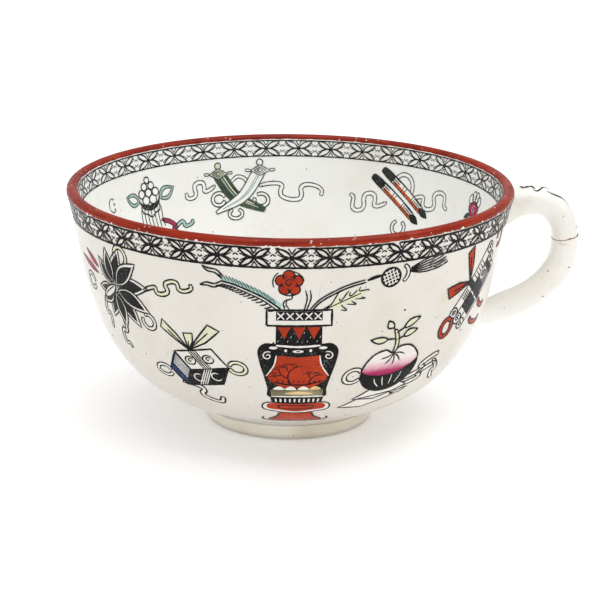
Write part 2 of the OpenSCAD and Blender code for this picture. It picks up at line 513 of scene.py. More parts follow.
def route_dir(s):
    d = np.stack([np.interp(s, ROUTE_S, ROUTE_DIR[:, 0]), np.interp(s, ROUTE_S, ROUTE_DIR[:, 1])], -1)
    return d / np.linalg.norm(d, axis=-1, keepdims=True)


def wall_at(height, across):
    """The bowl's outside near the handle, at heights and at distances to the side: point and normal."""
    heights, radii = OUTSIDE.points[::-1, 1], OUTSIDE.points[::-1, 0]
    r = np.interp(height, heights, radii)
    nr = np.interp(height, heights, OUTSIDE.normal[::-1, 0])
    nz = np.interp(height, heights, OUTSIDE.normal[::-1, 1])
    x = np.sqrt(r ** 2 - across ** 2)
    return np.stack([x, across, height], -1), np.stack([nr * x / r, nr * across / r, nz], -1)


def landing(root):
    """The outline of a root on the wall: points, wall normals, and the way in to its middle."""
    middle, half_h, half_w, _ = LANDINGS[root]
    down = -1 if root == "upper" else 1
    spot, out = wall_at(middle + down * half_h * INNER, half_w * np.sin(ROD_ANGLE))
    centre, _ = wall_at(np.array([middle]), np.array([0.0]))
    way_in = centre - spot
    way_in -= (way_in * out).sum(axis=1, keepdims=True) * out
    return spot, out, way_in / np.linalg.norm(way_in, axis=1, keepdims=True)


def break_lengths():
    """Length along the route at which each side of the rod crosses the tilted, ragged break."""
    s = np.linspace(ROUTE_S[-1] * 0.25, ROUTE_S[-1] * 0.6, 1500)
    middle = np.array([BACK[0], BREAK_Z])
    ragged = wander(ROD_ANGLE, 21, (2, 3, 5, 9, 14), 0.16)
    found = []
    for k in range(ROD_SIDES):
        p = on_rod(s, np.full(len(s), k))
        above = (p[:, 2] - middle[1]) - (p[:, 0] - middle[0]) * math.tan(BREAK_TILT)
        found.append(s[np.argmin(np.abs(above - ragged[k]))])
    return np.array(found)


BREAK_S = break_lengths()
# The width of the joint between the handle's two parts
BREAK_GAP = 0.17


def chips(gap):
    """How deep small chips bite at a distance from the break, on each side of the rod."""
    bites = ((3.75, 0.12, 0.9, 0.5), (3.45, 0.1, 0.5, 0.35), (4.6, 0.1, 0.35, 0.25),
             (0.3, 0.3, 0.25, 0.2))
    depth = np.zeros_like(gap)
    for turn, width, reach, deep in bites:
        round_off = np.exp(-((ROD_ANGLE - turn) / width) ** 2)
        depth = np.maximum(depth, deep * round_off * np.clip(1 - gap / reach, 0, 1))
    return depth


def spread_from_wall(root, free, free_way):
    """Rings that leave the wall in a fillet and run into the free rod."""
    spot, out, way_in = landing(root)
    close_to_lip = np.clip(-INNER, 0, 1) if root == "upper" else np.zeros(ROD_SIDES)
    fillet = (1.0 - 0.85 * close_to_lip)[:, None]
    leave = fillet * way_in + (1.15 - fillet) * out
    leave /= np.linalg.norm(leave, axis=1, keepdims=True)
    span = np.linalg.norm(free - spot, axis=1, keepdims=True)
    rings = [spot - 0.7 * out - 0.3 * way_in, spot - 0.15 * out]
    for t in np.linspace(0, 1, 26)[:-1] ** 1.3:
        h = (2 * t ** 3 - 3 * t ** 2 + 1, t ** 3 - 2 * t ** 2 + t, 3 * t ** 2 - 2 * t ** 3, t ** 3 - t ** 2)
        rings.append(h[0] * spot + h[1] * span * leave + h[2] * free + h[3] * span * free_way)
    return np.array(rings)


def capped_faces(rows):
    """The faces of a rod of rings, closed at both ends."""
    first = (rows - 1) * ROD_SIDES
    ends = [tuple(range(ROD_SIDES))[::-1], tuple(range(first, first + ROD_SIDES))]
    return grid_faces(rows, ROD_SIDES) + ends


def make_handle_part(name, node, root):
    """One part of the handle, from the wall to the break, filleted on to the wall."""
    sign = 1 if root == "upper" else -1
    start = 0.0 if root == "upper" else ROUTE_S[-1]
    begin = start + sign * LANDINGS[root][3]
    free = on_rod(np.full(ROD_SIDES, begin), ALL_SIDES)
    way = sign * route_dir(np.array([begin]))[0]
    rings = spread_from_wall(root, free, np.array([way[0], 0, way[1]]))
    end = BREAK_S - sign * BREAK_GAP / 2
    close = np.array([1.5, 1.2, 1.0, 0.8, 0.62, 0.46, 0.32, 0.2, 0.1, 0.04, 0.0])
    length = (end - begin) * sign
    away = np.vstack([np.linspace(0, 1, 56)[:-1, None] * (length - close[0]), length - close[:, None]])
    s = begin + sign * away
    to_break = length - away
    bitten = 0.09 * np.exp(-to_break / 0.12) + chips(to_break) * (0.9 if root == "upper" else 0.3)
    rod = on_rod(s, np.broadcast_to(ALL_SIDES, s.shape), -bitten)
    rings = np.concatenate([rings, rod])
    faces = capped_faces(len(rings))
    if root == "lower":
        faces = [f[::-1] for f in faces]
    part = mesh_object(name, rings.reshape(-1, 3), faces, [LIT_HANDLE_GLAZE])
    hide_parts(node)


def make_seam():
    """The film of old glue, drawn in a little from the rod's surface."""
    rings = [(-BREAK_GAP * 0.6, -0.5), (-BREAK_GAP * 0.6, -0.06), (0, -0.02),
             (BREAK_GAP * 0.6, -0.06), (BREAK_GAP * 0.6, -0.5)]
    points = np.vstack([on_rod(BREAK_S + shift, ALL_SIDES, grow) for shift, grow in rings])
    seam = mesh_object("handle_old_glue", points, capped_faces(len(rings)), [OLD_GLUE])
    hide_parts("handle_seam")


def make_slip(name, node, root):
    """The feathered edge of slip round a root, under the glaze."""
    half_w, half_h, sides = 0.75, 0.1, 10
    spot, out, way_in = landing(root)
    points = np.vstack([spot + half_w * math.cos(a) * way_in + half_h * math.sin(a) * out
                        for a in turns(sides)])
    ring = mesh_object(name, points, grid_faces(sides, ROD_SIDES, ring=True), [LIT_HANDLE_GLAZE])
    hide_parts(node)


def old_glue():
    """Brown, crumbly glue."""
    look = Look("old_glue", Roughness=0.6)
    look.feed(look.mix(look.ramp(look.noise(500, 3), (0.35, 0.0), (0.7, 1.0)),
                       (0.16, 0.075, 0.03), (0.34, 0.2, 0.1)), "Base Color")
    look.bump(look.noise(1500, 2), 0.4, 0.0002)
    return look.material


OLD_GLUE = old_glue()
make_bowl()
make_foot()
make_lip_line()
make_handle_part("handle_upper_part", "handle_upper", "upper")
make_handle_part("handle_lower_part", "handle_lower", "lower")
make_seam()
make_slip("slip_upper_bead", "slip_upper", "upper")
make_slip("slip_lower_bead", "slip_lower", "lower")


# --- Printing on the walls ---------------------------------------------------------------
BLACK = ink("ink_black", (0.006, 0.006, 0.007), (0.014, 0.014, 0.014), 0.6, (0.30, 0.29, 0.27))
INSIDE_BLACK = ink("ink_inside", (0.020, 0.022, 0.022), (0.045, 0.048, 0.046), 0.8, (0.46, 0.45, 0.42))
INSIDE_GREEN = ink("ink_inside_green", (0.045, 0.065, 0.055), (0.10, 0.13, 0.115), 0.8, (0.5, 0.51, 0.47))
MIST_LINE = ink("ink_inside_mist", (0.09, 0.10, 0.095), (0.18, 0.20, 0.19), 0.8, (0.55, 0.55, 0.51))
GREY = ink("ink_grey", (0.15, 0.15, 0.15), (0.09, 0.09, 0.09), 0.8, (0.42, 0.42, 0.40))
MIST = ink("ink_mist", (0.36, 0.40, 0.38), (0.47, 0.50, 0.48), 0.6, (0.7, 0.69, 0.65))
WHITE = ink("white_reserve", (0.80, 0.772, 0.72), (0.76, 0.73, 0.665), 0.0)
# The unprinted reserve inside matches the lighter inside copy of the glaze: painted light.
LIT_INSIDE_WHITE = ink("lit_inside_reserve", (0.93, 0.93, 0.905), (0.90, 0.895, 0.86), 0.0)
RED = ink("enamel_red", (0.46, 0.045, 0.014), (0.31, 0.027, 0.010), 0.35, (0.62, 0.20, 0.11))
ORANGE = ink("enamel_orange", (0.62, 0.13, 0.035), (0.50, 0.08, 0.025), 0.5, (0.72, 0.34, 0.18))
PALE_GREEN = ink("enamel_pale_green", (0.74, 0.755, 0.54), (0.68, 0.70, 0.50), 0.4, (0.80, 0.78, 0.68))
TEAL = ink("enamel_teal", (0.42, 0.62, 0.56), (0.34, 0.52, 0.47), 0.5, (0.74, 0.78, 0.73))
DARK_GREEN = ink("enamel_dark_green", (0.035, 0.060, 0.040), (0.075, 0.105, 0.065), 0.5, (0.22, 0.26, 0.20))
NAVY = ink("enamel_navy", (0.018, 0.036, 0.095), (0.034, 0.062, 0.15), 0.6, (0.22, 0.27, 0.36))
CRIMSON = ink("enamel_crimson", (0.42, 0.045, 0.11), (0.34, 0.03, 0.085), 0.5, (0.66, 0.36, 0.40))
SAND = ink("enamel_sand", (0.78, 0.56, 0.28), (0.64, 0.46, 0.24), 0.6, (0.85, 0.78, 0.62))
OLIVE = ink("enamel_olive", (0.36, 0.31, 0.17), (0.13, 0.12, 0.075), 0.9, (0.70, 0.63, 0.44))
RUST = ink("rust_stain", (0.30, 0.19, 0.10), (0.44, 0.31, 0.19), 0.4)

# How far the lowest ink stands off the wall, and each layer off the one below
INK_LIFT = 0.03
INK_LAYER = 0.014
# Widths of the usual lines
OUTLINE = 0.47
FINE = 0.37
# The spacing of the points inside a filled shape, so that it bends with the wall
FILL_GRID = 1.5
# How far from each end a line is pressed fully
PRESSED_IN = 0.8


def smooth(points, closed=False, steps=7):
    """A Catmull-Rom curve through points."""
    p = np.asarray(points, float)
    if len(p) < 3 and not closed:
        t = np.linspace(0, 1, max(2, int(np.linalg.norm(p[-1] - p[0]) / 1.2) + 2))[:, None]
        return p[0] + (p[-1] - p[0]) * t
    if closed:
        p = np.vstack([p[-1], p, p[:2]])
    else:
        p = np.vstack([2 * p[0] - p[1], p, 2 * p[-1] - p[-2]])
    t = np.linspace(0, 1, steps, endpoint=False)[:, None]
    out = []
    for a, b, c, d in zip(p[:-3], p[1:-2], p[2:-1], p[3:]):
        out.append(0.5 * (2 * b + (c - a) * t + (2 * a - 5 * b + 4 * c - d) * t ** 2
                          + (3 * b - a - 3 * c + d) * t ** 3))
    out = np.vstack(out)
    return out if closed else np.vstack([out, p[-2]])


def straight(points, step=1.2):
    """A line with corners, divided so that it can bend with the wall."""
    p = [np.asarray(q, float) for q in points]
    out = []
    for a, b in zip(p[:-1], p[1:]):
        n = max(1, int(np.linalg.norm(b - a) / step))
        out += [a + (b - a) * i / n for i in range(n)]
    return np.array(out + [p[-1]])


def cornered(points):
    """A closed outline with corners."""
    return straight([*points, points[0]])[:-1]


def panel_edge(corner, one, other):
    """The outline of a flat panel, from a corner and its two sides."""
    corner, one, other = (np.asarray(v, float) for v in (corner, one, other))
    return cornered([corner, corner + one, corner + one + other, corner + other])


def mirrored(half, steps=5):
    """A closed round outline from the points of its right half, top to bottom."""
    half = np.asarray(half, float)
    left = half[::-1] * (-1, 1)
    first = 1 if half[-1, 0] == 0 else 0
    last = len(left) - (1 if half[0, 0] == 0 else 0)
    return smooth(np.vstack([half, left[first:last]]), True, steps)


def leaf(base, tip, width, lean=0.0):
    """A leaf or petal between two points; lean bends it sideways."""
    base, tip = np.asarray(base, float), np.asarray(tip, float)
    along = tip - base
    side = np.array([-along[1], along[0]]) / np.linalg.norm(along)
    t = np.linspace(0, 1, 12)
    swell = np.sin(math.pi * t ** 0.85) * width / 2
    spine = base + along * t[:, None] + side * (lean * np.sin(math.pi * t))[:, None]
    left = spine + side * swell[:, None]
    right = spine - side * swell[:, None]
    return np.vstack([left, right[-2:0:-1]])


def band_faces(n, first=0):
    """Quads between two edges of n points each, the second numbered after the first."""
    return [(first + i + n, first + i + n + 1, first + i + 1, first + i) for i in range(n - 1)]


class Print:
    """Artwork in flat millimetres, laid on a wall: x to the right, y up, from an anchor point."""

    def __init__(self, name, wall, angle, drop, black):
        self.name, self.wall, self.home, self.black = name, wall, angle, black
        self.draw = random.Random(name)
        self.points, self.normals, self.faces, self.slots, self.inks = [], [], [], [], []
        self.count = 0
        self.move(angle, drop)

    def move(self, angle, drop):
        """The anchor: an angle in degrees round the cup and a drop below the crest."""
        self.angle, self.drop = math.radians(angle), drop

    def lay(self, flat, faces, colour, layer):
        flat = np.asarray(flat, float)
        drop = self.drop - flat[:, 1]
        angle = self.angle + self.wall.side * flat[:, 0] / self.wall.radius(drop)
        spots, normals = self.wall.place(angle, drop, INK_LIFT + INK_LAYER * layer)
        if colour not in self.inks:
            self.inks.append(colour)
        self.faces += [tuple(self.count + i for i in face) for face in faces]
        self.slots += [self.inks.index(colour)] * len(faces)
        self.points.append(spots)
        self.normals.append(normals)
        self.count += len(flat)

    def fill(self, outline, colour, layer=0):
        """A filled shape."""
        edge = np.asarray(outline, float)
        low, high = edge.min(axis=0), edge.max(axis=0)
        grid = [Vector((x, y)) for x in np.arange(low[0] + 0.7, high[0], FILL_GRID)
                for y in np.arange(low[1] + 0.7, high[1], FILL_GRID)]
        spots = [Vector(p) for p in edge] + grid
        found = geometry.delaunay_2d_cdt(spots, [], [list(range(len(edge)))], 1, 1e-5)
        faces = [f if turning(found[0], f) > 0 else f[::-1] for f in found[2]]
        self.lay([tuple(v) for v in found[0]], faces, colour, layer)

    def band(self, path, half_width, colour, layer):
        """A flat band along a path; gives back its two edges."""
        way = np.gradient(path, axis=0)
        way /= np.maximum(np.hypot(*way.T), 1e-9)[:, None]
        beside = np.stack([-way[:, 1], way[:, 0]], -1) * half_width[:, None]
        edges = path + beside, path - beside
        self.lay(np.vstack(edges), band_faces(len(path)), colour, layer)
        return edges

    def line(self, path, width=OUTLINE, colour=None, layer=3, taper=0.35):
        """A brush line along a path, uneven, and thinner towards its ends."""
        path = np.asarray(path, float)
        step = np.hypot(*np.diff(path, axis=0).T)
        along = np.concatenate([[0], np.cumsum(step)])
        end = np.minimum(along, along[-1] - along) / PRESSED_IN
        press = np.clip(1 - taper + taper * end, 0, 1)
        phase = self.draw.uniform(0, 6)
        press = press * (1 + 0.10 * np.sin(along * 2.3 + phase) + 0.06 * np.sin(along * 5.1 + 2 * phase))
        self.band(path, width / 2 * press, colour or self.black, layer)

    def outline(self, edge, width=OUTLINE, colour=None, layer=3):
        """A line all round a closed edge."""
        edge = np.asarray(edge, float)
        self.line(np.vstack([edge, edge[:1]]), width, colour, layer, taper=0.0)

    def shape(self, edge, colour, width=OUTLINE, layer=1, line_colour=None):
        """A filled shape with an outline."""
        self.fill(edge, colour, layer)
        self.outline(edge, width, line_colour, layer + 2)

    def ribbon(self, path, width, colour, line_width=FINE, layer=1, line_colour=None, ends=0.7, narrow=0.0):
        """A flat ribbon along a path, lined all round; narrow is how much it thins to its far end."""
        path = smooth(path)
        t = np.linspace(0, 1, len(path))
        swell = ends + (1 - ends) * np.sin(math.pi * t) ** 0.4
        left, right = self.band(path, width / 2 * swell * (1 - narrow * t ** 2), colour, layer)
        for edge in (left, right, straight([left[0], right[0]], 0.5),
                     straight([left[-1], right[-1]], 0.5)):
            self.line(edge, line_width, line_colour, layer + 1, taper=0.15)

    def done(self):
        piece = mesh_object(self.name, np.vstack(self.points), self.faces, self.inks, self.slots,
                            np.vstack(self.normals))


def turning(spots, face):
    """Twice the signed area of a flat face."""
    total = 0.0
    for i, j in zip(face, list(face[1:]) + [face[0]]):
        total += spots[i][0] * spots[j][1] - spots[j][0] * spots[i][1]
    return total


def border(name, wall, top, bottom, repeats, black, stroke, misses):
    """A printed diaper border: a four-petal flower in each unit, between two lines."""
    art = Print(name, wall, 0, (top + bottom) / 2, black)
    half_h = (bottom - top) / 2
    half_w = math.pi * wall.radius(art.drop) / repeats
    reach = half_w - 0.8
    knot = mirrored([(0, 0.62), (0.25, 0.28), (0.9, 0), (0.25, -0.28), (0, -0.62)], 3)
    for i in range(repeats):
        art.move(360 * (i + 0.5) / repeats, (top + bottom) / 2)
        art.fill(knot, black, 2)
        for side in (-1, 1):
            for up in (-1, 1):
                flip = np.array([side, up])
                art.outline(leaf((0.1, 0.05), (reach + 0.2, half_h), 1.2) * flip, stroke)
                for path in (((0, half_h * 0.4), (0.75, half_h)),
                             ((reach - 0.2, half_h * 0.7), (half_w - 0.5, half_h * 0.45)),
                             ((half_w - 0.55, 0.4), (half_w, 0.85))):
                    art.line(straight(path) * flip, stroke)
            chevron = np.array([(reach - 0.1, 0.85), (1.6, 0), (reach - 0.1, -0.85)])
            art.line(straight(chevron * (side, 1)), stroke)
    for drop in (top, bottom):
        art.move(0, drop)
        around = 2 * math.pi * wall.radius(drop)
        start = 0.0
        for at, length in sorted(misses) if drop == top else ():
            stop = around * at / 360 - length / 2
            art.line(straight([(start, 0), (stop, 0)], 0.5), stroke)
            start = stop + length
        art.line(straight([(start, 0), (around, 0)], 0.55), stroke, taper=0.0)
    art.done()


# Places round the cup, in degrees, where the transfer missed the top line, and for how long
MISSES = ((62, 3.0), (118, 1.2), (171, 2.2), (205, 1.0), (233, 1.6), (262.5, 7.5), (291, 1.2), (334, 2.0))
border("border_outer", OUTSIDE, 2.45, 7.15, 40, BLACK, 0.48, MISSES)
border("border_inner", INSIDE, 1.95, 5.85, 37, INSIDE_BLACK, 0.31, ())


# --- Parts that the pictures share -------------------------------------------------------
def turned(points, degrees, centre=(0, 0)):
    """Points turned about the origin and moved to a centre."""
    a = math.radians(degrees)
    turn = np.array([[math.cos(a), math.sin(a)], [-math.sin(a), math.cos(a)]])
    return np.asarray(points, float) @ turn + centre


def heading(degrees):
    return np.array([math.cos(math.radians(degrees)), math.sin(math.radians(degrees))])


def wave(start, degrees, length, waves, height):
    """Points along a wavy line with full, round bends, from a start, in a direction."""
    t = np.linspace(0, 1, max(7, int(10 * waves)))
    swing = 2 * math.pi * waves * t
    ahead = length * t - 0.11 * length / waves * np.sin(2 * swing)
    flat = np.stack([ahead, height * np.sin(swing) * np.minimum(1, 3 * t)], -1)
    return turned(flat, degrees, start)


def spiral(centre, radius, turns=1.4, start=0, way=1):
    a = np.radians(start) + way * np.linspace(0, 2 * math.pi * turns, int(26 * turns))
    r = radius * np.linspace(1, 0.15, len(a))
    return np.asarray(centre) + np.stack([r * np.cos(a), r * np.sin(a)], -1)


def ring_ribbon(art, centre, radius, width, colour, start, sweep, tall=1.0, layer=1, line_colour=None):
    """A ribbon bent into a ring that is left open where it is tied."""
    path = circle(centre, radius, radius * tall, start, start + sweep)[::3]
    art.ribbon(path, width, colour, 0.34, layer, line_colour, ends=0.9)


def tassel(art, base, degrees, length, spread, hairs, width, colour=None):
    """Hairs that spread from a knot and droop to one side."""
    for i in range(hairs):
        fan = (i / (hairs - 1) - 0.5) * spread
        hair = turned([(0, fan * 0.25), (length * 0.3, fan * 0.75), (length * 0.7, fan + 0.3),
                       (length * (1 - 0.04 * i), fan + 0.9)], degrees, base)
        art.line(smooth(hair), width, colour)


def tree(art, base, degrees, length, forks):
    """A small branching tree, its twigs ending in dashes for leaves."""
    tip = np.asarray(base) + heading(degrees) * length
    bend = heading(degrees + 90) * length * 0.1
    art.line(smooth([base, (np.asarray(base) + tip) / 2 + bend, tip]), 0.16 + 0.09 * forks, None, 4)
    if forks == 0:
        for dash in (-0.55, 0.0, 0.55):
            at = tip + (dash, 0.25 - abs(dash) * 0.4)
            art.line(straight([at - (0.28, 0), at + (0.28, 0.08)], 0.3), 0.3, None, 4)
        return
    for fork, share in ((34, 0.74), (-30, 0.80)):
        tree(art, tip, degrees + fork, length * share, forks - 1)


def striped(art, start, along, across, stripes, width, colour, layer=4):
    """Stripes along a panel: start, the vector along them, and the vector over which they repeat."""
    for i in range(stripes):
        low = np.asarray(start) + np.asarray(across) * (i + 0.5) / stripes
        art.line(straight([low, low + along]), width, colour, layer, 0.2)


# --- The pictures ------------------------------------------------------------------------
# Emblems of the traditional kinds, a vase, a feather, a book, a lotus, a fruit and scrolls,
# in a plain hand. Each function draws one picture round its anchor.
def vase(art):
    """A broad-shouldered vase with scroll handles and a painted panel."""
    art.shape(panel_edge((-6.9, 17.0), (14.0, 0), (0, 3.8)), WHITE, 0.5)
    art.fill(panel_edge((-4.9, 18.3), (10.0, 0), (0, 2.2)), BLACK, 2)
    for i in range(5):
        x = -3.9 + 2.0 * i
        for slope in (-0.75, 0.75):
            art.line(straight([(x - slope, 18.6), (x + slope, 20.2)], 0.5), 0.3, WHITE, 3, 0.1)
    art.fill(panel_edge((-4.9, 12.0), (10.0, 0), (0, 5.0)), BLACK, 1)
    for x in (-3.1, 0.1, 3.3):
        art.shape(cornered([(x, 13.3), (x + 1.55, 16.8), (x - 1.55, 16.8)]), RED, 0.26, 3)
    for i in range(14):
        x, y = -4.5 + 0.7 * i, 12.9 + 1.1 * (i % 3)
        art.line(straight([(x, y), (x + 0.2, y + 0.4)], 0.3), 0.14, WHITE, 2)
    body = mirrored([(0, 12.3), (4.8, 12.4), (7.4, 12.4), (8.8, 10.6), (8.4, 7.4), (7.3, 3.2),
                     (6.5, -0.4), (6.0, -3.4), (0, -3.7)])
    art.fill(body, BLACK, 1)
    panel = mirrored([(0, 8.9), (4.5, 9.2), (4.9, 7.0), (6.5, 3.3), (5.0, 1.3), (2.4, -0.3), (0, 0.1)])
    art.fill(panel, RED, 2)
    tree(art, (-1.2, 0.9), 112, 2.2, 3)
    tree(art, (2.6, 1.2), 74, 1.5, 2)
    art.line(smooth([(-5.0, 1.6), (-2.0, 1.0), (1.6, 0.9), (5.2, 2.0)]), 0.42, None, 4)
    for i in range(9):
        x = -4.4 + 1.15 * i
        art.line(straight([(x, 1.5), (x + 0.2, 2.3)], 0.4), 0.26, None, 4)
    for side in (-1, 1):
        curl = spiral((6.6, 9.2), 1.2, 1.3, 120, -1)
        art.line(curl * (side, 1), 0.28, WHITE, 4)
        edge = smooth([(4.7, 9.4), (5.2, 6.6), (6.8, 3.5)])
        art.line(edge * (side, 1), 0.3, WHITE, 4)
    art.line(smooth([(-4.8, 12.0), (0, 11.7), (4.8, 12.0)]), 0.5, WHITE, 4)
    for x, half_w in ((-5.4, 0.9), (-2.7, 0.3), (0, 1.2), (2.7, 0.3), (5.4, 0.9)):
        art.fill(circle((x, 10.5 + 0.03 * x * x), half_w, 0.36), WHITE, 4)
    art.fill(circle((0, 10.5), 0.45, 0.15), BLACK, 5)
    for x in (-4.0, -1.4, 1.4, 4.0):
        art.fill(mirrored([(0, 1.0), (1.3, 0), (0, -0.2)]) + (x, -0.6), SAND if x > 2 else WHITE, 3)
    art.fill(cornered([(-5.8, -0.9), (5.8, -0.9), (5.6, -2.7), (-5.6, -2.7)]), OLIVE, 3)
    art.fill(mirrored([(0, 0.5), (2.9, -0.1), (2.4, -0.5), (0, -0.5)]) + (0.4, -1.8), SAND, 4)
    art.line(straight([(-5.6, -3.1), (5.9, -3.1)]), 0.5, WHITE, 4)
    art.fill(cornered([(-5.8, -3.5), (5.9, -3.5), (5.5, -5.7), (-5.4, -5.7)]), BLACK, 3)
    for i in range(10):
        x = -4.6 + 1.05 * i
        art.line(straight([(x, -4.0), (x * 0.97, -5.3)], 0.5), 0.38, WHITE, 4, 0.1)


def vase_stand(art):
    """The vase's red stand: a rounded tray over a flared base."""
    tray = mirrored([(0, -5.9), (5.6, -5.5), (7.4, -6.6), (7.0, -8.6), (4.6, -9.5), (2.2, -10.1),
                     (0, -10.3)])
    art.shape(tray, WHITE, 0.38, 2)
    art.fill(mirrored([(0, -6.1), (5.2, -5.8), (6.5, -6.8), (6.0, -8.2), (3.6, -8.8), (0, -9.6)]), RED, 3)
    art.outline(mirrored([(0, -6.9), (3.6, -6.8), (3.4, -8.0), (0, -8.4)]), 0.34, None, 5)
    base = mirrored([(0, -10.4), (3.6, -10.3), (4.2, -12.4), (5.8, -14.8), (5.2, -15.9), (0, -16.3)])
    art.fill(base, RED, 2)
    for side in (-1, 1):
        art.line(smooth([(3.6, -10.4), (4.1, -12.4), (5.9, -14.8)]) * (side, 1), 0.42)
        art.line(smooth([(0, -16.6), (5.6, -16.1), (7.2, -14.8), (7.0, -13.3)]) * (side, 1), 0.45)
    for i in range(8):
        x = -4.2 + 1.2 * i
        art.line(straight([(x, -14.4), (x * 1.06, -15.8)], 0.5), 0.42, GREY, 4)


def feather(art):
    """A long quill with a curled tip, blue-green on its upper side."""
    spine = smooth([(-5.9, 2.1), (-3.0, 1.5), (0, 0.35), (3.5, -1.3), (7.0, -3.9)], steps=12)
    above = spine[::-1] + (0.35, 1.15)
    art.fill(np.vstack([spine, above]), TEAL, 0)
    art.line(spine, 0.44)
    art.line(spine[4:-2] - (0.35, 0.62), 0.3)
    for x, y in spine[2:-2:3]:
        art.line(straight([(x + 0.15, y + 0.4), (x - 0.75, y + 1.7)], 0.6), 0.22)
    for x, y in spine[4:-2:3]:
        art.line(smooth([(x - 0.3, y - 0.5), (x - 1.1, y - 0.9), (x - 2.1, y - 1.1)]), 0.36)
    for way in (-1, 1):
        curl = smooth([(0, 0.3 * way), (-1.6, 1.3 * way), (-3.4, 1.4 * way), (-4.8, 2.3 * way)])
        inner = smooth([(0.3, 0.9 * way), (-1.4, 2.1 * way), (-3.2, 2.1 * way), (-4.8, 2.4 * way)])
        for edge in (curl, inner):
            art.line(turned(edge, -8, (-5.6, 2.3)), 0.38)


def blossom(art):
    """A red blossom on a bent stalk with two thin leaves."""
    heart, flower_r, petals = np.array([9.0, 2.3]), 2.8, 5
    for i in range(petals):
        petal = circle(heart + heading(90 + 360 * i / petals) * flower_r * 0.62, flower_r * 0.46)
        art.shape(petal, RED, 0.28, 0)
    art.fill(circle(heart, flower_r * 0.5), RED, 3)
    art.line(spiral(heart, flower_r * 0.36, 1.1, 40), 0.26, None, 4)
    for radius, start in ((3.2, 10), (3.5, 130), (3.3, 230)):
        art.line(circle(heart, radius, radius * 0.9, start, start + 70), 0.28)
    art.line(smooth([(9.6, -0.2), (9.4, -1.4), (8.2, -1.8), (7.6, -2.6), (7.8, -3.9)]), 0.32)
    art.line(smooth([(8.4, -1.9), (8.2, -2.8), (8.8, -3.9)]), 0.28)
    for shift in (0, 1.0):
        blade = [(12.4 + shift, 0.6), (12.7 + shift * 0.8, -1.4), (12.0 + shift * 0.5, -4.2)]
        art.line(smooth(blade), 0.32)


def sceptre(art):
    """A curved stalk that ends in a latticed bud, a crescent and a hair tassel."""
    low = smooth([(-15.2, -3.5), (-13.2, -1.2), (-10.1, 0.7), (-7.0, 2.0), (-3.6, 2.8)])
    art.line(low, 0.4)
    art.line(low + (-0.2, 0.6), 0.36)
    art.line(smooth([(-3.4, 3.2), (-1.6, 3.8), (0.2, 4.1)]), 0.75)
    centre = np.array([2.2, 3.4])
    art.shape(circle(centre, 2.35, 2.3), BLACK, 0.3)
    for i in range(-2, 3):
        reach = math.sqrt(1.95 ** 2 - (0.78 * i) ** 2)
        for tilt in (20, 110):
            line = straight([(-reach, 0.78 * i), (reach, 0.78 * i)], 0.6)
            art.line(turned(line, tilt, centre), 0.26, WHITE, 4, 0.1)
    art.ribbon(circle((4.3, 4.0), 2.1, 2.1, -62, 62)[::4], 0.85, WHITE, 0.32, 2, ends=0.7)
    tassel(art, (7.0, 4.5), 6, 10.4, 3.6, 6, 0.34)
    tassel(art, (12.0, 5.0), 8, 5.2, 3.2, 4, 0.2, GREY)


def lobed_leaf(art, base, degrees, length, colour):
    """A pale leaf with three pairs of pointed lobes."""
    edge = [(0, 0.35)]
    for i in range(3):
        edge += [(length * (0.18 + 0.24 * i), 0.7), (length * (0.42 + 0.22 * i), 2.7 - 0.5 * i),
                 (length * (0.36 + 0.22 * i), 0.8)]
    edge.append((length, 0))
    edge += [(x, -0.85 * y) for x, y in edge[-2::-1]]
    edge = turned(smooth(edge, True, 4), degrees, base)
    art.fill(edge, colour, 1)
    for start in range(0, len(edge) - 9, 11):
        art.line(edge[start:start + 9], 0.3)
    art.line(turned(wave((0, 0), 0, length * 0.8, 0.5, 0.2), degrees, base), 0.26)


def vase_picture(art):
    """The vase on its stand, holding a feather, a blossom, a leaf and a sceptre."""
    vase(art)
    vase_stand(art)
    art.move(art.home - 12.8, 13)
    feather(art)
    blossom(art)
    art.move(art.home + 20.8, 14)
    sceptre(art)
    lobed_leaf(art, (-12.4, -3.3), 24, 10.6, PALE_GREEN)


def bow_tail(knot, degrees, length, width):
    """A tail of a bow: narrow at its knot, with a slanting end."""
    way, beside = heading(degrees), heading(degrees - 90) * width / 2
    return np.array([knot, knot + way * length * 0.5 + beside, knot + way * length + beside * 1.1,
                     knot + way * length * 0.9 - beside, knot + way * length * 0.4 - beside * 0.5])


